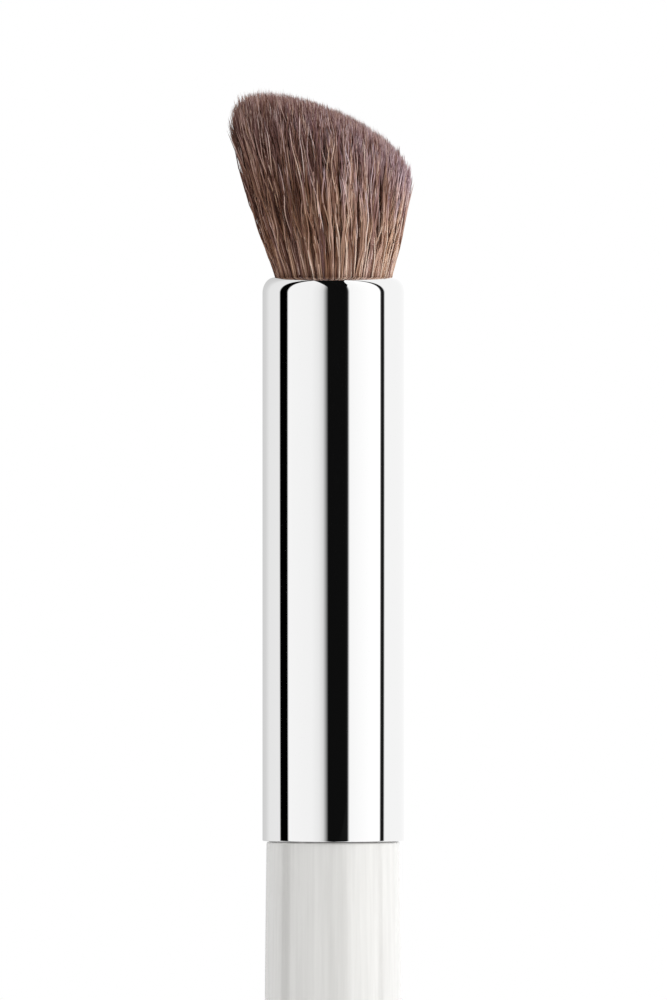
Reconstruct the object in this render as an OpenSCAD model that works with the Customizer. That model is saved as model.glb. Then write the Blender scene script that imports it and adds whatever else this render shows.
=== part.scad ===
// Eyeshadow brush: a slanted, domed head of natural hair, a plain chromed tube
// ferrule with a rolled-in mouth, and a slim turned and lacquered wooden handle.
// It is drawn upright, hair up, and the origin is the middle of the flat butt.
// The tall side of the hair points to -X. All sizes are real, in millimetres.

/* [Hair] */
// Height of the longest hair above the mouth of the ferrule
hair_h = 11.8; // [9:0.1:15]
// Width that the hair spreads to at the height of its longest hair
head_w = 12.6; // [10:0.1:16]
// Depth that the hair spreads to at the same height
head_d = 10.8; // [8:0.1:14]
// How far the head leans over to its tall side
head_lean = 0.85; // [0:0.05:1.5]
// How much lower the slanted cut lies at the short side than at the tall side
cut_drop = 4.5; // [0:0.1:6]
// How far the middle of the cut domes up above its edge
crown_h = 1.6; // [0.3:0.05:2]
// How much shorter the outermost hair is, which rounds the edge of the cut
rim_h = 1.6; // [0:0.1:2.5]
// How unevenly single hairs end
ragged_h = 0.3; // [0:0.05:0.6]
// Number of strands that stand for the hair
hair_count = 480; // [300:10:500]
// Thickness of one strand at its root
strand_d = 0.22; // [0.14:0.01:0.22]
// Thickness of one strand near its end, where the hair is more open
strand_end_d = 0.3; // [0.14:0.01:0.3]
// Thickness of the slice of packed roots that carries the strands
slice_l = 1.6; // [1.2:0.1:2.5]

/* [Knot] */
// Length of the packed hair roots below that slice
knot_l = 8.4; // [6:0.1:12]
// Thickness of the thread that binds the roots
thread_d = 0.34; // [0.2:0.02:0.4]
// Turns of the thread
thread_turns = 5; // [3:1:7]
// Rise of the thread in one turn
thread_pitch = 0.8; // [0.8:0.05:0.9]
// Length of the resin poured on the root ends
resin_l = 5.6; // [3:0.1:8]
// Depth of the hollow in the lower face of the resin
dish_h = 0.5; // [0.2:0.1:1]

/* [Ferrule] */
// Outer diameter of the tube
ferrule_d = 9; // [8.9:0.1:12]
// Length of the tube with its rolled mouth
ferrule_l = 35.7; // [26:0.1:45]
// Thickness of the metal
wall = 0.4; // [0.25:0.05:0.5]
// Outer radius of the rolled-in mouth
lip_r = 0.75; // [0.6:0.05:0.9]

/* [Handle] */
// Length of the handle below the ferrule
handle_l = 92.5; // [60:0.5:140]
// Diameter of the neck, just below the ferrule
neck_d = 8.5; // [8.3:0.1:8.7]
// Diameter of the fullest part
belly_d = 8.8; // [8.8:0.1:9.5]
// How far the fullest part lies below the ferrule
belly_drop = 22; // [12:0.5:35]
// Diameter just above the rounded butt
butt_d = 6; // [4.6:0.1:7.5]
// Radius of the rounding round the butt
butt_round = 0.8; // [0.4:0.1:1.8]
// Radius of the rounding at the shoulder under the ferrule
neck_round = 0.15; // [0:0.01:0.15]
// Bevel at the end of the tenon
tenon_bevel = 0.6; // [0.2:0.1:1]
// Number of glue grooves round the tenon
groove_count = 4; // [2:1:5]
// Radius of a glue groove
groove_r = 0.4; // [0.2:0.05:0.6]

/* [Fits] */
// Radial play of the packed roots and the resin in the tube
knot_fit = 0.05; // [0.02:0.01:0.1]
// Radial play of the tenon in the tube
tenon_fit = 0.1; // [0.05:0.01:0.2]
// Play between the glue, the wood and the metal
glue_fit = 0.03; // [0.01:0.01:0.05]
// Gap between faces that meet end to end
seat_fit = 0.04; // [0.01:0.01:0.1]

/* [Hidden] */
$fn = 96;

// Heights along the brush, upwards from the butt
ferrule_z = handle_l;
mouth_z = ferrule_z + ferrule_l;
slice_z = mouth_z - slice_l;
knot_z = slice_z - seat_fit - knot_l;
resin_z = knot_z - seat_fit - resin_l;
tenon_z = resin_z - seat_fit;
tenon_l = tenon_z - ferrule_z;
belly_z = ferrule_z - belly_drop;

// Radii of the tube
ferrule_r = ferrule_d / 2;
bore_r = ferrule_r - wall;
mouth_r = ferrule_r - lip_r;
packed_r = bore_r - knot_fit;
tenon_r = bore_r - tenon_fit;

// The hair is spread like the seeds of a sunflower, so that no strand meets another
golden_angle = 180 * (3 - sqrt(5));
strand_r = strand_d / 2;
strand_end_r = strand_end_d / 2;
strand_sides = 3;
ring_shares = [0, 0.55, 0.92];
root_spread_r = mouth_r - knot_fit - strand_r;
root_depth = 2 * seat_fit;
ragged_seed = 11;
rim_power = 7;
lean_power = 1.4;
rim_skew_share = 0.45;
ragged = rands(0, ragged_h, hair_count, ragged_seed);

// Steps of the handle's long curves and of its small roundings
bow_steps = 14;
round_steps = 8;

// The thread lies in a waist of the knot, halfway up
thread_sides = 6;
thread_steps = 16;
waist_r = packed_r - thread_d - knot_fit;
thread_r = packed_r - thread_d / 2;
thread_rise = thread_pitch * thread_turns;
waist_l = thread_rise + 2 * thread_d;
waist_z = knot_z + (knot_l - waist_l) / 2;

// A strand's place in the bunch, as a share of the way out from the middle
function seed_share(i) =
  sqrt((i + 0.5) / hair_count) * [cos(golden_angle * i), sin(golden_angle * i)];

// The cut over a place in the bunch, down from the top of a flat-cut head. Its edge
// is rounder on the tall side than on the short side
function cut_dip(p) =
  let (out = norm(p), rim = rim_h * (1 - rim_skew_share * p.x))
  cut_drop / 2 * p.x + crown_h * pow(out, 2) + rim * pow(out, rim_power);

// Height of strand i, so that the longest one reaches hair_h
function strand_dip(i) = cut_dip(seed_share(i)) + ragged[i];
least_dip = min([for (i = [0:hair_count - 1]) strand_dip(i)]);
function strand_h(i) = hair_h + least_dip - strand_dip(i);

// How far the bunch has opened at height z above the mouth, from 0 to 1
function opening(z) = sin(90 * max(0, min(z / hair_h, 1)));

// Middle of a strand at height z above the mouth
function strand_place(i, z) =
  let (
    p = seed_share(i),
    half_w = root_spread_r + (head_w / 2 - strand_end_r - root_spread_r) * opening(z),
    half_d = root_spread_r + (head_d / 2 - strand_end_r - root_spread_r) * opening(z),
    lean = head_lean * pow(max(0, z / hair_h), lean_power)
  )
  [half_w * p.x - lean, half_d * p.y, mouth_z + z];

// Ring of corners round a strand, turned a little differently on each
function strand_ring(i, z, r) =
  let (middle = strand_place(i, z))
  [
    for (s = [0:strand_sides - 1])
      let (a = golden_angle * i + 360 * s / strand_sides)
      middle + [r * cos(a), r * sin(a), 0]
  ];

// Corners of strand i: rings from its root upwards, then its tip
function strand_points(i) = [
  for (along = ring_shares)
    let (
      z = along == 0 ? -root_depth : along * strand_h(i),
      r = strand_r + (strand_end_r - strand_r) * along
    )
    each strand_ring(i, z, r),
  strand_place(i, strand_h(i))
];

// Triangles of strand i: its root, its sides and its tip
function strand_faces(i) =
  let (n = strand_sides, rings = len(ring_shares), first = i * (rings * n + 1))
  [
    [for (s = [0:n - 1]) first + s],
    for (k = [0:rings - 2], s = [0:n - 1])
      let (a = first + k * n + s, b = first + k * n + (s + 1) % n)
      each [[a + n, b + n, b], [a + n, b, a]],
    for (s = [0:n - 1])
      let (top = first + (rings - 1) * n)
      [top + n, top + (s + 1) % n, top + s]
  ];

// Middle of the thread after a turn counted from the bottom of the waist
function thread_place(turn) = [
  thread_r * cos(360 * turn),
  thread_r * sin(360 * turn),
  waist_z + thread_d + thread_pitch * turn
];

thread_path = [for (k = [0:thread_turns * thread_steps]) thread_place(k / thread_steps)];

// Least gap of the thread to its own next turn
thread_gap = min([
  for (a = [0:len(thread_path) - 1], b = [a + thread_steps / 2:1:len(thread_path) - 1])
    norm(thread_path[b] - thread_path[a])
]) - thread_d;
echo(least_gap_of_the_thread_mm = thread_gap);

// Ring of corners round the thread, square to its run
function thread_ring(k) =
  let (
    turn = k / thread_steps,
    out = [cos(360 * turn), sin(360 * turn), 0],
    run = [-sin(360 * turn) * 2 * PI * thread_r, cos(360 * turn) * 2 * PI * thread_r, thread_pitch],
    up = cross(out, run / norm(run))
  )
  [
    for (s = [0:thread_sides - 1])
      let (a = -360 * s / thread_sides)
      thread_path[k] + thread_d / 2 * (cos(a) * out + sin(a) * up)
  ];

// Points of an arc that ends upright at (r1, z1) and starts at (r0, z0)
function bow(r0, z0, r1, z1, steps) =
  let (
    sag = r1 - r0,
    rise = z1 - z0,
    radius = (rise * rise + sag * sag) / (2 * sag)
  )
  [
    for (k = [0:steps])
      let (z = z0 + rise * k / steps)
      [r1 - radius + sqrt(radius * radius - pow(z1 - z, 2)), z]
  ];

// Points of a round corner about a middle, from one angle to another
function corner(middle, radius, from, to) = [
  for (k = [0:round_steps])
    let (a = from + (to - from) * k / round_steps)
    middle + radius * [cos(a), sin(a)]
];

// Height of the middle of glue groove k on the tenon
function groove_z(k) = ferrule_z + tenon_l * (k + 1) / (groove_count + 1);

// Outline of the slice of packed roots: it fills the rolled lip from below
module slice_outline() {
  lip_inside = lip_r - wall - knot_fit;
  translate([0, -slice_l])
    square([packed_r, slice_l - lip_r]);
  translate([0, -lip_r])
    square([mouth_r, lip_inside]);
  translate([0, -lip_r])
    square([mouth_r - knot_fit, lip_r - seat_fit]);
  translate([mouth_r, -lip_r])
    intersection() {
      circle(r = lip_inside);
      square(lip_inside);
    }
}

// The visible hair, grown out of a slice of its packed roots
module hair_head() {
  color("#5b4237")
    union() {
      translate([0, 0, mouth_z])
        rotate_extrude()
          slice_outline();
      polyhedron(
        points = [for (i = [0:hair_count - 1]) each strand_points(i)],
        faces = [for (i = [0:hair_count - 1]) each strand_faces(i)]
      );
    }
}

// The roots inside the tube, pressed together and drawn in where the thread lies
module root_knot() {
  color("#3d2b24")
    rotate_extrude()
      difference() {
        translate([0, knot_z])
          square([packed_r, knot_l]);
        translate([waist_r, waist_z])
          square([bore_r, waist_l]);
      }
}

// The thread that binds the roots, one unbroken helix
module knot_binding() {
  rings = len(thread_path);
  n = thread_sides;
  color("#e8e2d2")
    polyhedron(
      points = [for (k = [0:rings - 1]) each thread_ring(k)],
      faces = [
        [for (s = [0:n - 1]) s],
        for (k = [0:rings - 2], s = [0:n - 1])
          let (a = k * n + s, b = k * n + (s + 1) % n)
          each [[a, a + n, b + n], [a, b + n, b]],
        [for (s = [n - 1:-1:0]) (rings - 1) * n + s]
      ]
    );
}

// The resin poured on the root ends, with the hollow that it sets to
module root_resin() {
  dish_r = (packed_r * packed_r + dish_h * dish_h) / (2 * dish_h);
  color("#c98f3a")
    difference() {
      translate([0, 0, resin_z])
        cylinder(h = resin_l, r = packed_r);
      translate([0, 0, resin_z + dish_h - dish_r])
        sphere(r = dish_r);
    }
}

// The drawn tube, its mouth rolled in over the hair and its lower end cut square
module ferrule() {
  color("#d9dcdf")
    rotate_extrude() {
      translate([bore_r, ferrule_z])
        square([wall, ferrule_l - lip_r]);
      translate([mouth_r, mouth_z - lip_r])
        intersection() {
          difference() {
            circle(r = lip_r);
            circle(r = lip_r - wall);
          }
          square(lip_r);
        }
    }
}

// The glue that has set in the grooves of the tenon
module tenon_glue() {
  color("#efe6c4")
    for (k = [0:groove_count - 1])
      rotate_extrude()
        translate([tenon_r, groove_z(k)])
          intersection() {
            circle(r = groove_r - glue_fit);
            translate([-groove_r, -groove_r])
              square([groove_r + tenon_fit - glue_fit, 2 * groove_r]);
          }
}

// The turned handle: butt, belly, neck, shoulder and the grooved tenon
module handle() {
  shoulder_z = ferrule_z - seat_fit;
  butt_r = butt_d / 2;
  neck_r = neck_d / 2;
  belly_r = belly_d / 2;
  side = [
    each corner([butt_r - butt_round, butt_round], butt_round, -90, 0),
    each bow(butt_r, butt_round, belly_r, belly_z, bow_steps)
  ];
  neck = bow(neck_r, shoulder_z - neck_round, belly_r, belly_z, bow_steps);
  color("#f4f3ef")
    rotate_extrude()
      difference() {
        polygon([
          [0, 0],
          each side,
          each [for (k = [bow_steps - 1:-1:0]) neck[k]],
          [neck_r - neck_round, shoulder_z],
          [tenon_r, shoulder_z],
          [tenon_r, tenon_z - tenon_bevel],
          [tenon_r - tenon_bevel, tenon_z],
          [0, tenon_z]
        ]);
        for (k = [0:groove_count - 1])
          translate([tenon_r, groove_z(k)])
            circle(r = groove_r);
      }
}

hair_head();
root_knot();
knot_binding();
root_resin();
ferrule();
tenon_glue();
handle();
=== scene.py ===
"""Eyeshadow brush: soft natural hair, a chromed tube ferrule and a lacquered handle, in a light tent."""

import math
from types import SimpleNamespace

import bmesh
import bpy
import numpy as np
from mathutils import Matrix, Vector
from mathutils.kdtree import KDTree


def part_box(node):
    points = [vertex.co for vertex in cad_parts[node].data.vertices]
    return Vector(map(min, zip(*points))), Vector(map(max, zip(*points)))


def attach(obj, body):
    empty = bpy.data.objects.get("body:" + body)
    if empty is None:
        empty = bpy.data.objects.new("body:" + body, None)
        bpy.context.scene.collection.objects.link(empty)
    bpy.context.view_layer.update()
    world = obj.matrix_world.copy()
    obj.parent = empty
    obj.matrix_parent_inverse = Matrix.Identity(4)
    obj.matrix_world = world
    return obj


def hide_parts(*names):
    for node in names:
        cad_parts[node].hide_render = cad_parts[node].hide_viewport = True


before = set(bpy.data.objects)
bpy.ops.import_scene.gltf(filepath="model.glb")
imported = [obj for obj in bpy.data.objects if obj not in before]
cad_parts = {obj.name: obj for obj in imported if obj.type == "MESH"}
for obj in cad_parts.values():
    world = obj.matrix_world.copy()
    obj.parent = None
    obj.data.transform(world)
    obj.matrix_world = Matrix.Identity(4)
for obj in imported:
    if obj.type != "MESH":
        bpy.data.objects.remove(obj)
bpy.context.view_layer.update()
MM = 0.001

# Places along the brush and its radii, from the CAD parts in model.glb, in metres
TUBE_LOW, TUBE_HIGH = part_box("ferrule")
TUBE_R = TUBE_HIGH.x
TUBE_Z = TUBE_LOW.z
MOUTH_Z = TUBE_HIGH.z
HAIR_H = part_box("hair_head")[1].z - MOUTH_Z
BELLY_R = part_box("handle")[1].x
TENON_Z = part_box("handle")[1].z

# The picture, in pixels: its height, the tube's width and the row of the tube's mouth
PICTURE_H_PX = 1000
TUBE_W_PX = 142
MOUTH_ROW_PX = 277.5

# The tube's wall, its rolled-in mouth and the broken edges of its lower end
WALL = 0.4 * MM
LIP_R = 0.75 * MM
LIP_H = 1.0 * MM
MOUTH_R = TUBE_R - LIP_R
BURR_R = 0.05 * MM

# The turned handle
NECK_R = 4.25 * MM
NECK_ROUND = 0.15 * MM
BELLY_DROP = 22 * MM
BUTT_R = 3.0 * MM
BUTT_ROUND = 0.8 * MM
SEAT_FIT = 0.04 * MM
TENON_R = 4.0 * MM
TENON_BEVEL = 0.6 * MM

# Points of a turned mesh that lie nearer than this are one
WELD = 0.0001 * MM

# The hairs: their number and thickness, and the steps in which each bends and tapers
HAIR_COUNT = 7200
HAIR_PIECES = 4
HAIR_SEED = 12
HAIR_D = 0.084 * MM
HAIR_D_SHARES = (0.75, 1.25)
HAIR_SIDES = 3
HAIR_STEPS = 16
STEPS = np.arange(HAIR_STEPS + 1) / HAIR_STEPS
TAPER_PLACES = (0, 0.8, 0.93, 1)
TAPER_SHARES = (1, 0.95, 0.65, 0.15)

# The head: its roots in the mouth, how far it spreads, and how it leans to its tall side
ROOT_GAP = 0.09 * MM
ROOT_R = MOUTH_R - ROOT_GAP
ROOT_DEPTH = 0.6 * MM
HEAD_W = 12.1 * MM
HEAD_D = 10.6 * MM
HEAD_LEAN = 0.78 * MM
LEAN_POWER = 1.4

# The cut: its slant, its dome from side to side and from front to back, and its rounded rim
CUT_DROP = 4.5 * MM
CROWN_H = 1.6 * MM
CROWN_DEEP_H = 0.9 * MM
RIM_H = 1.4 * MM
RIM_POWER = 9
RIM_SKEW = 0.1

# The ends: they scatter about the cut, and some hairs are longer, most of all at the rim, and some shorter
END_RAISE = 0.06 * MM
END_SCATTER = 0.13 * MM
LONG_SHARE = 0.15
LONG_BY = 0.2 * MM
LONG_BY_AT_RIM = 0.35 * MM
LONG_POWER = 3
SHORT_SHARE = 0.1
SHORT_BY = (0.2 * MM, 2.5 * MM)

# From here on, a length across the head is a share of the way out from its middle. A rise is the stretch of
# the head's height or of the hair's length over which something sets in. A wave's rate is in radians over the
# head's height, and its phase is this many times the hair's own.

# Hairs cling to each other in strands and part at their tips, and strands lean together in locks
ROOT_JITTER = 0.006
HAIRS_PER_STRAND = 3
LOCK_COUNT = 450
CLING = 0.66
CLING_RISE = (0, 0.3)
PARTING = 0.65
PARTING_RISE = (0.86, 1)
LOCK_LEAN = 0.4
LOCK_RISE = (0, 5 / 6)

# Strands and hairs sway to one side, wave slowly and crimp quickly
STRAND_SWAY = 0.055
STRAND_WAVE = 0.024
STRAND_WAVE_RATES = (4, 9)
HAIR_SWAY = 0.022
HAIR_WAVE = 0.022
HAIR_WAVE_RATE = 13
CRIMP = 0.009
CRIMP_RATES = (17, 30)
CRIMP_PHASE = 2
WAVE_RISE = (0, 0.2)

# Above the mouth the outermost hairs are held in, each a little differently
PRESS = -0.048
PRESS_SCATTER = 0.01
PRESS_RISE = (0.15, 0.15 + 1 / 3)

# Of the hairs at the rim, strays stand out and end lower and others flick outwards, more on the tall side
RIM_COUNT = 1200
RIM_BLUR = 0.02
STRAY_COUNT = 300
STRAY_OUT = 0.08
STRAY_SKEW = 0.75
STRAY_POWER = 0.6
STRAY_H_SHARE = 0.74
FLICKS = (-0.05, 0.08)
FLICK_SKEW = 0.35
FLICK_POWER = 4

# A hair's tone is its place on the shaft's colours, from 0, dark, to 1, pale gold. It grows by the side,
# which is the share of the way out to the short side, as painted light from the lamp on that side, and drops
# further at the edge of the tall one, as painted shade. It scatters by lock, strand and hair.
TONE = 0.405
PAINTED_SIDE_LIGHT = 0.23
PAINTED_EDGE_SHADE = 0.1
EDGE_SHADE_SIDE = -0.3
LOCK_TONES = 0.13
STRAND_TONES = 0.2
HAIR_TONES = 0.15
BROWN_TONES = (0.02, 0.76)

# Golden hairs and strands, partly real pale hairs and partly painted highlights: how many there are, more on
# the lit short side, and their tone, with painted shade on the tall side
GOLDEN_HAIRS = 0.16
GOLDEN_HAIRS_LIT_SIDE = 0.1
GOLDEN_STRANDS = 0.055
GOLDEN_STRANDS_LIT_SIDE = 0.03
GOLDEN_TONE = 1.02
GOLDEN_TONES = 0.28
GOLDEN_SHADE_TALL_SIDE = 0.2

# Along a hair, the tone is lighter at its foot, painted shade in the mouth and inside the head, a little
# darker further up, painted glints and shade in bands, lighter at the tip, and painted shade in the middle of
# the crown
FOOT_LIGHT = 0.15
FOOT_RISE = (0, 1 / 2.2)
MOUTH_SHADE = 0.15
MOUTH_SHADE_H = 0.35 * MM
INNER_SHADE = 0.8
INNER_DEPTH = 0.3
INNER_TIP_LIGHT = 0.7
INNER_TIP_POWER = 3
UPPER_SHADE = 0.04
UPPER_SHADE_FROM = 0.35
PAINTED_GLINTS = 0.13
GLINT_RATE = 14
GLINT_PHASE = 3
TIP_LIGHT = 0.19
TIP_LIGHT_BY_SIDE = -0.13
TIP_LIGHT_RISE = (0.88, 1)
CROWN_SHADE = 0.1
CROWN_SHADE_SIDE = 0.1
CROWN_SHADE_W = 0.35
CROWN_SHADE_RISE = (0.5, 0.8)

# How grey the hair is, from 0, the shaft's colour, to 1, the tip's: a cool tint below, and more at the tips
COOL_TINTS = 0.16
COOL_MOST = 0.6
GREYS = (0.1, 1.1)
GREY_MIDDLE = 0.85
GREY_BY_SIDE = 0.4
GREY_RISE = (0.6, 0.94)

# The map that the hair's colours are laid on: how far the colours stay from its edges, and half the width of
# one hair on it
HAIR_MAP = "OFBake"
TONE_EDGE = 0.01
GREY_EDGE = 0.02
STRIP_HALF_W = 0.004

# How far the camera and the lamps stand from the brush, and the side of a lamp's square, in metres
CAMERA_REACH = 1.2
LAMP_REACH = 0.6
LAMP_SIZE = 0.35


def colour(code):
    """An sRGB hex colour as linear red, green, blue and alpha."""
    parts = [int(code[i : i + 2], 16) / 255 for i in (1, 3, 5)]
    return [p / 12.92 if p <= 0.04045 else ((p + 0.055) / 1.055) ** 2.4 for p in parts] + [1.0]


def add_node(tree, kind, own=(), values=(), links=(), stops=()):
    """Adds a node with its own properties, its inputs' values and links, and a ramp's stops and colours."""
    made = tree.nodes.new(kind)
    for name, value in dict(own).items():
        setattr(made, name, value)
    for name, value in dict(values).items():
        made.inputs[name].default_value = value
    for name, source in dict(links).items():
        tree.links.new(source, made.inputs[name])
    for k, (place, shade) in enumerate(stops):
        elements = made.color_ramp.elements
        stop = elements[k] if k < 2 else elements.new(place)
        stop.position = place
        stop.color = shade
    return made


def new_material(name):
    """A material of that name, with its tree and its main shader."""
    material = bpy.data.materials.new(name)
    material.use_nodes = True
    return material, material.node_tree, material.node_tree.nodes["Principled BSDF"]


def finish_piece(name, mesh, material, nodes):
    """Makes an object of a mesh, and puts it in the part in place of its CAD nodes."""
    piece = bpy.data.objects.new(name, mesh)
    bpy.context.scene.collection.objects.link(piece)
    mesh.materials.clear()
    mesh.materials.append(material)
    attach(piece, "root")
    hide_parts(*nodes)


def arc(middle, radius, start, end, steps, height=None):
    """Points of an arc in the profile plane, as (radius, height), between two angles in degrees."""
    tall = radius if height is None else height
    angles = [math.radians(start + (end - start) * k / steps) for k in range(steps + 1)]
    return [(middle[0] + radius * math.cos(a), middle[1] + tall * math.sin(a)) for a in angles]


def bow(start, end, steps):
    """Points of an arc in the profile plane that ends upright at its end."""
    sag, rising = end[0] - start[0], end[1] - start[1]
    radius = (rising * rising + sag * sag) / (2 * sag)
    heights = [start[1] + rising * k / steps for k in range(steps + 1)]
    return [(end[0] - radius + math.sqrt(radius**2 - (end[1] - z) ** 2), z) for z in heights]


def turned(profile, closed, steps, sharp_deg):
    """A mesh spun from a profile of (radius, height) points about the brush's axis."""
    bm = bmesh.new()
    verts = [bm.verts.new((r, 0, z)) for r, z in profile]
    pairs = list(zip(verts, verts[1:] + ([verts[0]] if closed else [])))
    edges = [bm.edges.new(pair) for pair in pairs]
    bmesh.ops.spin(
        bm,
        geom=verts + edges,
        cent=(0, 0, 0),
        axis=(0, 0, 1),
        angle=2 * math.pi,
        steps=steps,
        use_merge=True,
    )
    bmesh.ops.remove_doubles(bm, verts=bm.verts, dist=WELD)
    bmesh.ops.recalc_face_normals(bm, faces=bm.faces)
    mesh = bpy.data.meshes.new("turned")
    bm.to_mesh(mesh)
    bm.free()
    mesh.shade_smooth()
    mesh.set_sharp_from_angle(angle=math.radians(sharp_deg))
    return mesh


def bright_chrome():
    """Chrome on polished drawn brass: a mirror, with faint polishing lines along the tube."""
    material, tree, shader = new_material("bright_chrome_on_brass")
    place = add_node(tree, "ShaderNodeTexCoord")
    # Polishing lines 0.02 mm wide are too fine to show, so they are drawn 0.1 mm wide and 4 mm long
    across, along = 0.1 * MM, 4 * MM
    stretch = add_node(
        tree,
        "ShaderNodeMapping",
        values={"Scale": (1 / across, 1 / across, 1 / along)},
        links={"Vector": place.outputs["Object"]},
    )
    lines = add_node(
        tree,
        "ShaderNodeTexNoise",
        values={"Scale": 1.0, "Detail": 3.0, "Roughness": 0.6},
        links={"Vector": stretch.outputs["Vector"]},
    )
    gloss = add_node(
        tree,
        "ShaderNodeMapRange",
        values={"From Min": 0.3, "From Max": 0.7, "To Min": 0.015, "To Max": 0.035},
        links={"Value": lines.outputs["Fac"]},
    )
    tree.links.new(gloss.outputs["Result"], shader.inputs["Roughness"])
    shader.inputs["Metallic"].default_value = 1.0
    shader.inputs["Base Color"].default_value = colour("#ececec")
    return material


def gloss_lacquer():
    """White lacquer sprayed on turned birch: clear, wet-looking gloss over a faintly uneven ground."""
    material, tree, shader = new_material("white_lacquer_on_birch")
    place = add_node(tree, "ShaderNodeTexCoord")
    # Orange peel of about 1.2 mm, as a sprayed coat dries
    peel = add_node(
        tree,
        "ShaderNodeTexNoise",
        values={"Scale": 1 / (1.2 * MM), "Detail": 2.0, "Roughness": 0.4},
        links={"Vector": place.outputs["Object"]},
    )
    # Birch grain, which the coat all but hides: this many streaks to a millimetre across it and along it
    across, along = 3.3, 0.11
    stretch = add_node(
        tree,
        "ShaderNodeMapping",
        values={"Scale": (across / MM, across / MM, along / MM)},
        links={"Vector": place.outputs["Object"]},
    )
    grain = add_node(
        tree,
        "ShaderNodeTexNoise",
        values={"Scale": 1.0, "Detail": 4.0, "Roughness": 0.55},
        links={"Vector": stretch.outputs["Vector"]},
    )
    ground = add_node(
        tree,
        "ShaderNodeValToRGB",
        links={"Fac": grain.outputs["Fac"]},
        stops=[(0.35, colour("#eeedea")), (0.65, colour("#f6f5f2"))],
    )
    gloss = add_node(
        tree,
        "ShaderNodeMapRange",
        values={"From Min": 0.3, "From Max": 0.7, "To Min": 0.16, "To Max": 0.24},
        links={"Value": grain.outputs["Fac"]},
    )
    relief = add_node(
        tree,
        "ShaderNodeBump",
        values={"Strength": 0.35, "Distance": 0.004 * MM},
        links={"Height": peel.outputs["Fac"]},
    )
    tree.links.new(ground.outputs["Color"], shader.inputs["Base Color"])
    tree.links.new(gloss.outputs["Result"], shader.inputs["Roughness"])
    tree.links.new(relief.outputs["Normal"], shader.inputs["Normal"])
    shader.inputs["Coat Weight"].default_value = 1.0
    shader.inputs["Coat Roughness"].default_value = 0.03
    shader.inputs["IOR"].default_value = 1.5
    return material


def brush_hair():
    """Undyed animal hair: dark, mid and golden brown hairs side by side, each greyer towards its tip.

    The map's U is the hair's tone, from dark to pale gold, with painted light and shade in it, and its V is
    how grey it has turned.
    """
    material, tree, shader = new_material("natural_brush_hair")
    place = add_node(tree, "ShaderNodeUVMap", own={"uv_map": HAIR_MAP})
    parts = add_node(tree, "ShaderNodeSeparateXYZ", links={"Vector": place.outputs["UV"]})
    shaft = add_node(
        tree,
        "ShaderNodeValToRGB",
        links={"Fac": parts.outputs["X"]},
        stops=[
            (0.0, colour("#4a2616")),
            (1.0, colour("#fbe0cc")),
            (0.25, colour("#75492f")),
            (0.45, colour("#9c7156")),
            (0.6, colour("#b9907a")),
            (0.72, colour("#d8b09b")),
            (0.8, colour("#c9a082")),
            (0.9, colour("#e8c0a3")),
        ],
    )
    tip = add_node(
        tree,
        "ShaderNodeValToRGB",
        links={"Fac": parts.outputs["X"]},
        stops=[
            (0.0, colour("#683f38")),
            (1.0, colour("#e8d0d9")),
            (0.45, colour("#a9828a")),
        ],
    )
    mixed = add_node(
        tree,
        "ShaderNodeMix",
        own={"data_type": "RGBA"},
        links={"Factor": parts.outputs["Y"]},
    )
    tree.links.new(shaft.outputs["Color"], mixed.inputs["A"])
    tree.links.new(tip.outputs["Color"], mixed.inputs["B"])
    tree.links.new(mixed.outputs["Result"], shader.inputs["Base Color"])
    shader.inputs["Roughness"].default_value = 0.36
    shader.inputs["IOR"].default_value = 1.55
    return material


def hidden_finish(name, code, rough, grain_mm, relief_mm):
    """A plain finish with fine grain, for what lies inside the ferrule."""
    material, tree, shader = new_material(name)
    place = add_node(tree, "ShaderNodeTexCoord")
    grain = add_node(
        tree,
        "ShaderNodeTexNoise",
        values={"Scale": 1 / (grain_mm * MM), "Detail": 4.0},
        links={"Vector": place.outputs["Object"]},
    )
    shade = add_node(
        tree,
        "ShaderNodeMix",
        own={"data_type": "RGBA", "blend_type": "MULTIPLY"},
        values={"Factor": 0.4},
        links={"B": grain.outputs["Color"]},
    )
    shade.inputs["A"].default_value = colour(code)
    relief = add_node(
        tree,
        "ShaderNodeBump",
        values={"Distance": relief_mm * MM},
        links={"Height": grain.outputs["Fac"]},
    )
    tree.links.new(shade.outputs["Result"], shader.inputs["Base Color"])
    tree.links.new(relief.outputs["Normal"], shader.inputs["Normal"])
    shader.inputs["Roughness"].default_value = rough
    return material


def make_ferrule():
    """The tube with its rolled-in mouth, as one closed shell."""
    bore_r = TUBE_R - WALL
    roll = (MOUTH_R, MOUTH_Z - LIP_H)
    profile = [
        *arc((bore_r + BURR_R, TUBE_Z + BURR_R), BURR_R, 180, 270, steps=3),
        *arc((TUBE_R - BURR_R, TUBE_Z + BURR_R), BURR_R, -90, 0, steps=3),
        *arc(roll, LIP_R, 0, 90, steps=32, height=LIP_H),
        *arc(roll, LIP_R - WALL, 90, 0, steps=12, height=LIP_H - WALL),
    ]
    mesh = turned(profile, closed=True, steps=256, sharp_deg=40)
    finish_piece("ferrule_tube", mesh, bright_chrome(), ["ferrule"])


def make_handle():
    """The turned handle, with its shoulder under the ferrule and its tenon inside it."""
    shoulder_z = TUBE_Z - SEAT_FIT
    belly = (BELLY_R, TUBE_Z - BELLY_DROP)
    neck = bow((NECK_R, shoulder_z - NECK_ROUND), belly, steps=24)
    profile = [
        (0, 0),
        *arc((BUTT_R - BUTT_ROUND, BUTT_ROUND), BUTT_ROUND, -90, 0, steps=10),
        *bow((BUTT_R, BUTT_ROUND), belly, steps=48)[1:],
        *neck[-2::-1],
        *arc((NECK_R - NECK_ROUND, shoulder_z - NECK_ROUND), NECK_ROUND, 0, 90, steps=4)[1:],
        (TENON_R, shoulder_z),
        (TENON_R, TENON_Z - TENON_BEVEL),
        (TENON_R - TENON_BEVEL, TENON_Z),
        (0, TENON_Z),
    ]
    mesh = turned(profile, closed=False, steps=192, sharp_deg=35)
    finish_piece("handle_body", mesh, gloss_lacquer(), ["handle"])


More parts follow.
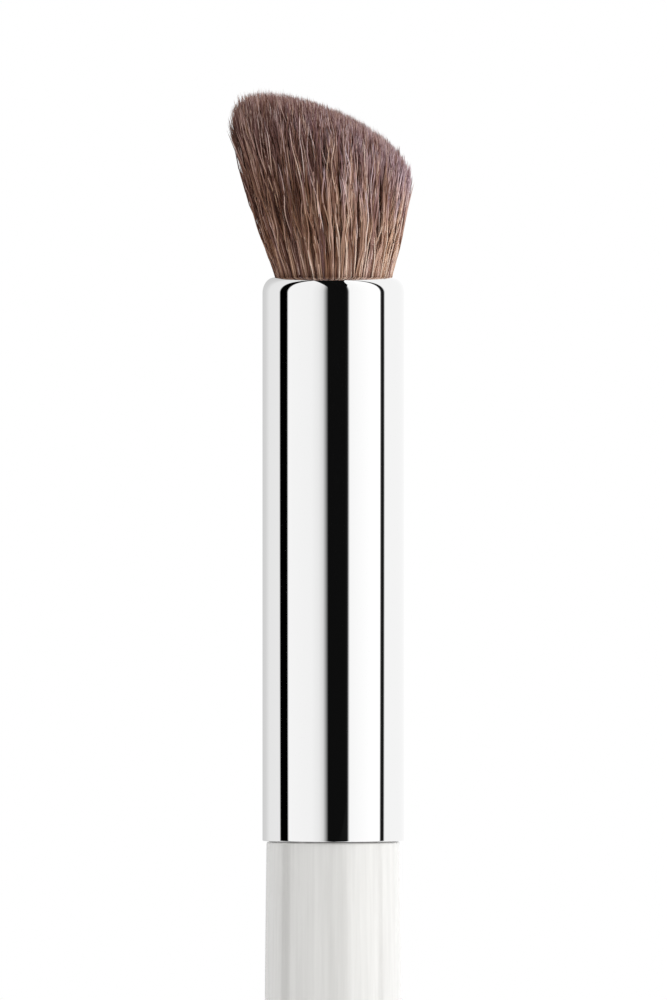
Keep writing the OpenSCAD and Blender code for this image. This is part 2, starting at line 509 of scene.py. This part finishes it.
def unit_hair():
    """One hair of length 1 and radius 1 along Z: a ring of corners at each step, drawn to a point."""
    bm = bmesh.new()
    bmesh.ops.create_circle(bm, cap_ends=True, radius=1, segments=HAIR_SIDES)
    ring = list(bm.edges)
    for _ in range(HAIR_STEPS):
        made = bmesh.ops.extrude_edge_only(bm, edges=ring)["geom"]
        corners = [v for v in made if isinstance(v, bmesh.types.BMVert)]
        edges = [e for e in made if isinstance(e, bmesh.types.BMEdge)]
        ring = [e for e in edges if all(v in corners for v in e.verts)]
        bmesh.ops.translate(bm, verts=corners, vec=(0, 0, 1 / HAIR_STEPS))
    bmesh.ops.pointmerge(bm, verts=corners, merge_co=(0, 0, 1))
    bmesh.ops.recalc_face_normals(bm, faces=bm.faces)
    mesh = bpy.data.meshes.new("unit_hair")
    bm.to_mesh(mesh)
    bm.free()
    return mesh


def copies_of(mesh, count):
    """A mesh of that many copies of another, all in one place and in order."""
    lone = bpy.data.objects.new("lone", mesh)
    bpy.context.scene.collection.objects.link(lone)
    row = lone.modifiers.new("row", "ARRAY")
    row.count = count
    row.use_relative_offset = False
    many = bpy.data.meshes.new_from_object(lone.evaluated_get(bpy.context.evaluated_depsgraph_get()))
    bpy.data.objects.remove(lone)
    return many


def rise(value, start, end):
    """0 up to the start, 1 from the end on, and evenly from one to the other between them."""
    return np.clip((value - start) / (end - start), 0, 1)


def nearest(spots, middles):
    """For each spot, the number of the middle that lies nearest."""
    tree = KDTree(len(middles))
    for k, (x, y) in enumerate(middles):
        tree.insert((x, y, 0), k)
    tree.balance()
    return np.array([tree.find((x, y, 0))[1] for x, y in spots])


def gather_bunch(rng):
    """Each hair's place in the bunch, in a sunflower's layout, and the strand and the lock that it is in."""
    number = np.arange(HAIR_COUNT)
    turn = math.pi * (3 - math.sqrt(5)) * number
    out = np.sqrt((number + 0.5) / HAIR_COUNT)
    share = np.stack([out * np.cos(turn), out * np.sin(turn)], 1)
    share += rng.normal(0, ROOT_JITTER, share.shape)
    share /= np.maximum(1, np.linalg.norm(share, axis=1))[:, None]
    strands = share[rng.choice(HAIR_COUNT, HAIR_COUNT // HAIRS_PER_STRAND, replace=False)]
    locks = strands[rng.choice(len(strands), LOCK_COUNT, replace=False)]
    strand = nearest(share, strands)
    return SimpleNamespace(
        share=share,
        out=np.linalg.norm(share, axis=1),
        side=share[:, 0],
        strands=strands,
        locks=locks,
        strand=strand,
        lock=nearest(strands, locks)[strand],
    )


def draw_sways(rng, bunch):
    """How each strand and hair sways and waves, and how far it is held in, strays or flicks."""
    count = len(bunch.strands)
    sway = SimpleNamespace()
    sway.strand = rng.normal(0, STRAND_SWAY, (count, 2))
    sway.strand_phase = rng.uniform(0, 2 * math.pi, (count, 2))
    sway.hair = rng.normal(0, HAIR_SWAY, (HAIR_COUNT, 2))
    sway.hair_phase = rng.uniform(0, 2 * math.pi, (HAIR_COUNT, 2))
    sway.crimp_rate = rng.uniform(*CRIMP_RATES, (HAIR_COUNT, 2))[:, None]
    sway.strand_rate = rng.uniform(*STRAND_WAVE_RATES, (count, 1))[bunch.strand][:, None]
    sway.press = rng.normal(PRESS, PRESS_SCATTER, (HAIR_COUNT, 1, 1))

    side = bunch.side[:, None, None]
    rim = np.argsort(bunch.out - RIM_BLUR * rng.random(HAIR_COUNT))[-RIM_COUNT:]
    outward = rng.uniform(0, STRAY_OUT, (STRAY_COUNT, 1, 1))
    sway.stray = np.zeros((HAIR_COUNT, 1, 1))
    sway.stray[rng.choice(rim, STRAY_COUNT, replace=False)] = outward
    sway.stray *= 1 - STRAY_SKEW * side
    sway.flick = np.zeros((HAIR_COUNT, 1, 1))
    sway.flick[rim] = np.maximum(rng.uniform(*FLICKS, (RIM_COUNT, 1, 1)), 0)
    sway.flick *= 1 - FLICK_SKEW * side
    sway.flick[sway.stray > 0] = 0
    return sway


def run_hairs(bunch, sway, height):
    """The points of hairs of these heights, from root to tip.

    They are shares of the way out, each with its height above the mouth, in metres, and with how far up the
    head and how far along the hair it lies.
    """
    strand = bunch.strand
    to_strand = (bunch.strands[strand] - bunch.share)[:, None]
    to_lock = (bunch.locks[bunch.lock] - bunch.strands[strand])[:, None]
    z = -ROOT_DEPTH + STEPS * (height[:, None] + ROOT_DEPTH)
    up = np.clip(z / HAIR_H, 0, 1)[..., None]
    along = np.clip(z / height[:, None], 0, 1)[..., None]

    # Each hair clings to its strand, leans with its lock, sways and waves
    cling = CLING * rise(along, *CLING_RISE) * (1 - PARTING * rise(along, *PARTING_RISE))
    lean = LOCK_LEAN * np.sin(rise(up, *LOCK_RISE) * math.pi)
    phase = sway.hair_phase[:, None]
    wave = STRAND_WAVE * np.sin(sway.strand_phase[strand][:, None] + sway.strand_rate * up)
    wave += HAIR_WAVE * np.sin(phase + HAIR_WAVE_RATE * up)
    wave += CRIMP * np.sin(CRIMP_PHASE * phase + sway.crimp_rate * up)
    wave *= rise(up, *WAVE_RISE)
    points = bunch.share[:, None] + cling * to_strand + lean * to_lock
    points += up * (sway.strand[strand] + sway.hair)[:, None] + wave

    # Only strays and flicks pass the limit of the head
    limit = 1 + rise(up, *PRESS_RISE) * sway.press
    points /= np.maximum(1, np.linalg.norm(points, axis=2, keepdims=True) / limit)
    points *= 1 + sway.stray * up**STRAY_POWER + sway.flick * along**FLICK_POWER
    return SimpleNamespace(points=points, z=z, up=up[..., 0], along=along[..., 0])


def cut_heights(share):
    """How high the slanted, domed cut leaves a hair above the mouth; its rim is rounder on the tall side."""
    side, deep = share[:, 0], share[:, 1]
    rim = RIM_H * (1 - RIM_SKEW * side) * np.linalg.norm(share, axis=1) ** RIM_POWER
    dip = CUT_DROP / 2 * side + CROWN_H * side**2 + CROWN_DEEP_H * deep**2 + rim
    return HAIR_H - (dip - dip.min())


def draw_heights(rng, bunch, sway):
    """Each hair's height above the mouth: the cut's where the hair ends, give or take its own scatter."""
    uncut = run_hairs(bunch, sway, cut_heights(bunch.share))
    height = cut_heights(uncut.points[:, -1])
    height += END_RAISE - np.abs(rng.normal(0, END_SCATTER, HAIR_COUNT))
    longer = rng.random(HAIR_COUNT) < LONG_SHARE
    height += longer * rng.uniform(0, LONG_BY + LONG_BY_AT_RIM * bunch.out**LONG_POWER)
    shorter = rng.random(HAIR_COUNT) < SHORT_SHARE
    height -= shorter * rng.uniform(*SHORT_BY, HAIR_COUNT)
    height[sway.stray[:, 0, 0] > 0] *= STRAY_H_SHARE
    return height


def in_head(share, z):
    """Where a hair at this share of the way out passes height z above the mouth, in metres."""
    up = np.clip(z / HAIR_H, 0, 1)
    opening = np.sin(up * math.pi / 2)
    x = share[..., 0] * (ROOT_R + (HEAD_W / 2 - ROOT_R) * opening) - HEAD_LEAN * up**LEAN_POWER
    y = share[..., 1] * (ROOT_R + (HEAD_D / 2 - ROOT_R) * opening)
    return np.stack([x, y, MOUTH_Z + z], -1)


def draw_tones(rng, bunch, sway, run):
    """Each hair's tone, from 0, dark, to 1, pale gold, at each of its points, with painted light and shade in
    it.
    """
    # The hair's own tone, brown or golden, with painted light on the short side and painted shade on the tall
    # one
    side, strand = bunch.side, bunch.strand
    tone = TONE + PAINTED_SIDE_LIGHT * side - PAINTED_EDGE_SHADE * np.maximum(EDGE_SHADE_SIDE - side, 0)
    tone += rng.normal(0, LOCK_TONES, len(bunch.locks))[bunch.lock]
    tone += rng.normal(0, STRAND_TONES, len(bunch.strands))[strand]
    tone += rng.normal(0, HAIR_TONES, HAIR_COUNT)
    # More golden hairs on the lit short side, as painted light, and dimmer ones on the tall side, as painted
    # shade
    golden = rng.random(HAIR_COUNT) < GOLDEN_HAIRS + GOLDEN_HAIRS_LIT_SIDE * side
    golden_tone = GOLDEN_TONE + GOLDEN_SHADE_TALL_SIDE * np.minimum(side, 0) - GOLDEN_TONES * rng.random(HAIR_COUNT) ** 2
    golden_share = GOLDEN_STRANDS + GOLDEN_STRANDS_LIT_SIDE * bunch.strands[:, 0]
    golden |= (rng.random(len(bunch.strands)) < golden_share)[strand]
    tone = np.where(golden, golden_tone, np.clip(tone, *BROWN_TONES))[:, None]

    # How it changes along the hair, with painted shade and painted glints
    depth = np.clip(1 - bunch.out, 0, INNER_DEPTH)[:, None]
    tone = tone + FOOT_LIGHT * (1 - rise(run.up, *FOOT_RISE))
    # Painted shade on the roots in the mouth
    tone -= MOUTH_SHADE * (1 - rise(run.z, 0, MOUTH_SHADE_H))
    # Painted shade on the hairs inside the head, less towards their tips
    tone -= INNER_SHADE * depth * (1 - INNER_TIP_LIGHT * run.along**INNER_TIP_POWER)
    tone -= UPPER_SHADE * (run.up - UPPER_SHADE_FROM)
    # Painted glints and shade in bands, where the hair would pass over and under others
    tone += PAINTED_GLINTS * np.sin(GLINT_PHASE * sway.hair_phase[:, :1] + GLINT_RATE * run.up)
    tone += (TIP_LIGHT + TIP_LIGHT_BY_SIDE * side[:, None]) * rise(run.along, *TIP_LIGHT_RISE)
    # Painted shade in the middle of the crown
    crown = np.exp(-(((side - CROWN_SHADE_SIDE) / CROWN_SHADE_W) ** 2))[:, None]
    return tone - CROWN_SHADE * crown * rise(run.up, *CROWN_SHADE_RISE)


def draw_greys(rng, bunch, run):
    """How grey each hair is at each of its points; it differs by strand."""
    count, strand = len(bunch.strands), bunch.strand
    cool = np.clip(rng.normal(0, COOL_TINTS, count), 0, COOL_MOST)[strand][:, None]
    grey = rng.uniform(*GREYS, count)[strand] * (GREY_MIDDLE + GREY_BY_SIDE * bunch.side)
    grey = np.clip(grey, 0, 1)[:, None]
    return cool + (grey - cool) * rise(run.along, *GREY_RISE)


def hair_mesh(single, path, radius, tone, grey):
    """Copies of one hair, each bent along its own path, with its colours on the map."""
    mesh = copies_of(single, len(path))
    unit = np.empty(len(mesh.vertices) * 3, np.float32)
    mesh.vertices.foreach_get("co", unit)
    unit = unit.reshape(len(path), -1, 3)
    at = np.rint(unit[0, :, 2] * HAIR_STEPS).astype(int)
    spot = path[:, at]
    spot[..., :2] += unit[..., :2] * radius[:, at, None]
    mesh.vertices.foreach_set("co", spot.astype(np.float32).ravel())

    # Each hair lies on the map as a narrow strip about its tone, so that its faces have some area there
    u = np.clip(tone[:, at], TONE_EDGE, 1 - TONE_EDGE) + STRIP_HALF_W * unit[..., 0]
    v = GREY_EDGE + (1 - 2 * GREY_EDGE) * grey[:, at]
    spread = np.stack([u, v], -1).reshape(-1, 2)
    corner = np.empty(len(mesh.loops), np.int32)
    mesh.loops.foreach_get("vertex_index", corner)
    mesh.uv_layers.new(name=HAIR_MAP).uv.foreach_set("vector", spread[corner].astype(np.float32).ravel())
    mesh.shade_smooth()
    mesh.update()
    return mesh


def make_hair():
    """The visible hair, dealt out hair by hair to several pieces."""
    rng = np.random.default_rng(HAIR_SEED)
    bunch = gather_bunch(rng)
    sway = draw_sways(rng, bunch)
    height = draw_heights(rng, bunch, sway)
    run = run_hairs(bunch, sway, height)
    path = in_head(run.points, run.z)
    tone = draw_tones(rng, bunch, sway, run)
    grey = draw_greys(rng, bunch, run)
    thick = HAIR_D / 2 * rng.uniform(*HAIR_D_SHARES, HAIR_COUNT)
    radius = thick[:, None] * np.interp(STEPS, TAPER_PLACES, TAPER_SHARES)

    single = unit_hair()
    material = brush_hair()
    for k in range(HAIR_PIECES):
        own = slice(k, HAIR_COUNT, HAIR_PIECES)
        mesh = hair_mesh(single, path[own], radius[own], tone[own], grey[own])
        finish_piece(f"hair_{k + 1}", mesh, material, ["hair_head"])


def dress_inner_nodes():
    """Finishes for the pieces inside the ferrule."""
    # Each one's material, colour and roughness, and its grain's width and relief in millimetres
    finishes = {
        "root_knot": ("resin_soaked_roots", "#4a352b", 0.6, 0.15, 0.02),
        "knot_binding": ("twisted_polyester_thread", "#e8e2d2", 0.7, 0.08, 0.02),
        "root_resin": ("cast_epoxy", "#c98f3a", 0.15, 1.5, 0.01),
        "tenon_glue": ("set_wood_glue", "#efe6c4", 0.4, 0.5, 0.02),
    }
    for name, finish in finishes.items():
        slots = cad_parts[name].data.materials
        slots.clear()
        slots.append(hidden_finish(*finish))


def make_camera():
    """A long lens, level with the middle of the picture and framed as the photograph is."""
    picture_h = PICTURE_H_PX * 2 * TUBE_R / TUBE_W_PX
    data = bpy.data.cameras.new("camera")
    data.lens = data.sensor_width * CAMERA_REACH / picture_h
    camera = bpy.data.objects.new("camera", data)
    bpy.context.scene.collection.objects.link(camera)
    middle_z = MOUTH_Z - (PICTURE_H_PX / 2 - MOUTH_ROW_PX) / PICTURE_H_PX * picture_h
    camera.location = (0, -CAMERA_REACH, middle_z)
    camera.rotation_euler = (math.pi / 2, 0, 0)
    bpy.context.scene.camera = camera


def make_tent():
    """White all round; in reflections, a light tent with the black strips that give chrome its edges."""
    world = bpy.data.worlds.new("tent")
    bpy.context.scene.world = world
    world.use_nodes = True
    tree = world.node_tree
    tree.nodes.clear()
    white = (1, 1, 1, 1)
    black = (0.005, 0.005, 0.005, 1)
    fill_strength = 0.45

    # Walls of the tent from behind on the left, past the camera, to behind on the right: each wall's two ends
    # in degrees and its brightness there; between two walls the light runs over evenly
    walls = [
        (-180, -145, 0.62, 0.74),
        (-128, -99, 0.92, 0.95),
        (-97, -81.5, 0.0, 0.0),
        (-79, -36, 1.08, 1.05),
        (-24, -17, 0.96, 0.78),
        (-9, 23.5, 0.004, 0.01),
        (26, 81.5, 1.1, 1.25),
        (83.5, 90.3, 0.01, 0.012),
        (92.3, 180, 1.08, 1.05),
    ]
    ends = [end for first, last, low, high in walls for end in ((first, low), (last, high))]
    places = [((degrees + 180) / 360, (light, light, light, 1)) for degrees, light in ends]
    way = add_node(tree, "ShaderNodeTexCoord")
    parts = add_node(tree, "ShaderNodeSeparateXYZ", links={"Vector": way.outputs["Generated"]})
    back = add_node(
        tree,
        "ShaderNodeMath",
        own={"operation": "MULTIPLY"},
        values={1: -1.0},
        links={0: parts.outputs["Y"]},
    )
    turn = add_node(
        tree,
        "ShaderNodeMath",
        own={"operation": "ARCTAN2"},
        links={0: parts.outputs["X"], 1: back.outputs[0]},
    )
    share = add_node(
        tree,
        "ShaderNodeMapRange",
        values={"From Min": -math.pi, "From Max": math.pi},
        links={"Value": turn.outputs[0]},
    )
    ring = add_node(
        tree,
        "ShaderNodeValToRGB",
        links={"Fac": share.outputs["Result"]},
        stops=[places[0], places[-1], *places[1:-1]],
    )

    # The middle black strip runs on overhead, where it spreads to its left and narrows on its right. Each
    # edge is an X that changes with Z, both of them parts of a direction, from -1 to 1
    left_edge = add_node(
        tree,
        "ShaderNodeMapRange",
        values={"From Min": 0.5, "From Max": 1.0, "To Min": -0.15, "To Max": -0.34},
        links={"Value": parts.outputs["Z"]},
    )
    inside_left = add_node(
        tree,
        "ShaderNodeMath",
        own={"operation": "GREATER_THAN"},
        links={0: parts.outputs["X"], 1: left_edge.outputs["Result"]},
    )
    right_edge = add_node(
        tree,
        "ShaderNodeMapRange",
        values={"From Min": 0.7, "From Max": 1.0, "To Min": 0.34, "To Max": 0.17},
        links={"Value": parts.outputs["Z"]},
    )
    inside_right = add_node(
        tree,
        "ShaderNodeMath",
        own={"operation": "LESS_THAN"},
        links={0: parts.outputs["X"], 1: right_edge.outputs["Result"]},
    )
    # It lies above a plane that rises towards the back
    over = add_node(
        tree,
        "ShaderNodeMath",
        own={"operation": "MULTIPLY_ADD"},
        values={1: -0.5},
        links={0: parts.outputs["Y"], 2: parts.outputs["Z"]},
    )
    above = add_node(
        tree,
        "ShaderNodeMath",
        own={"operation": "GREATER_THAN"},
        values={1: 0.2},
        links={0: over.outputs[0]},
    )
    between = add_node(
        tree,
        "ShaderNodeMath",
        own={"operation": "MULTIPLY"},
        links={0: inside_left.outputs[0], 1: inside_right.outputs[0]},
    )
    strip = add_node(
        tree,
        "ShaderNodeMath",
        own={"operation": "MULTIPLY"},
        links={0: between.outputs[0], 1: above.outputs[0]},
    )
    lit = add_node(
        tree,
        "ShaderNodeMix",
        own={"data_type": "RGBA"},
        links={"Factor": strip.outputs[0]},
    )
    tree.links.new(ring.outputs["Color"], lit.inputs["A"])
    lit.inputs["B"].default_value = black

    # The camera sees white, reflections see the tent, and all other light is an even fill
    tent = add_node(tree, "ShaderNodeBackground", links={"Color": lit.outputs["Result"]})
    seen = add_node(tree, "ShaderNodeBackground", values={"Color": white})
    fill = add_node(tree, "ShaderNodeBackground", values={"Color": white, "Strength": fill_strength})
    ray = add_node(tree, "ShaderNodeLightPath")
    straight = add_node(
        tree,
        "ShaderNodeMath",
        own={"operation": "MAXIMUM"},
        links={0: ray.outputs["Is Camera Ray"], 1: ray.outputs["Is Transmission Ray"]},
    )
    mirrored = add_node(
        tree,
        "ShaderNodeMixShader",
        links={0: ray.outputs["Is Glossy Ray"], 1: fill.outputs[0], 2: tent.outputs[0]},
    )
    whole = add_node(
        tree,
        "ShaderNodeMixShader",
        links={0: straight.outputs[0], 1: mirrored.outputs[0], 2: seen.outputs[0]},
    )
    add_node(tree, "ShaderNodeOutputWorld", links={"Surface": whole.outputs[0]})


def make_lamp(name, azimuth, elevation, watts):
    """A soft square lamp that faces the head of the brush; azimuth 0 is the camera's side."""
    data = bpy.data.lights.new(name, "AREA")
    data.size = LAMP_SIZE
    data.energy = watts
    lamp = bpy.data.objects.new(name, data)
    bpy.context.scene.collection.objects.link(lamp)
    a, e = math.radians(azimuth), math.radians(elevation)
    way = Vector((math.sin(a) * math.cos(e), -math.cos(a) * math.cos(e), math.sin(e)))
    lamp.location = Vector((0, 0, MOUTH_Z)) + way * LAMP_REACH
    lamp.rotation_mode = "QUATERNION"
    lamp.rotation_quaternion = way.to_track_quat("Z", "Y")
    lamp.visible_camera = False
    lamp.visible_glossy = False


def make_floor():
    """A pale floor under the butt, as white as the tent where no shadow falls."""
    bm = bmesh.new()
    bmesh.ops.create_circle(bm, cap_ends=True, radius=1.5, segments=64)
    mesh = bpy.data.meshes.new("floor")
    bm.to_mesh(mesh)
    bm.free()
    floor = bpy.data.objects.new("floor", mesh)
    bpy.context.scene.collection.objects.link(floor)
    material, tree, shader = new_material("matt_white_card")
    shader.inputs["Base Color"].default_value = colour("#f4f4f4")
    shader.inputs["Roughness"].default_value = 0.9
    shader.inputs["Specular IOR Level"].default_value = 0.0

    # Further out, where the lamps don't reach, the card is as bright to the camera as it is near the brush:
    # its glow to the camera grows with the distance from the brush, in metres
    place = add_node(tree, "ShaderNodeTexCoord")
    distance = add_node(
        tree,
        "ShaderNodeVectorMath",
        own={"operation": "LENGTH"},
        links={0: place.outputs["Object"]},
    )
    even = add_node(
        tree,
        "ShaderNodeMapRange",
        values={"From Min": 0.1, "From Max": 0.9, "To Min": 0.05, "To Max": 0.5},
        links={"Value": distance.outputs["Value"]},
    )
    ray = add_node(tree, "ShaderNodeLightPath")
    seen = add_node(
        tree,
        "ShaderNodeMath",
        own={"operation": "MULTIPLY"},
        links={0: even.outputs["Result"], 1: ray.outputs["Is Camera Ray"]},
    )
    tree.links.new(seen.outputs[0], shader.inputs["Emission Strength"])
    shader.inputs["Emission Color"].default_value = (1, 1, 1, 1)
    mesh.materials.append(material)
    floor.visible_glossy = False


bpy.context.scene.view_settings.view_transform = "Standard"
make_camera()
make_tent()
make_lamp("lamp_right", azimuth=68, elevation=25, watts=1.9)
make_lamp("lamp_left", azimuth=-35, elevation=20, watts=0.4)
make_lamp("lamp_back", azimuth=190, elevation=35, watts=1.8)
make_floor()
make_ferrule()
make_handle()
make_hair()
dress_inner_nodes()
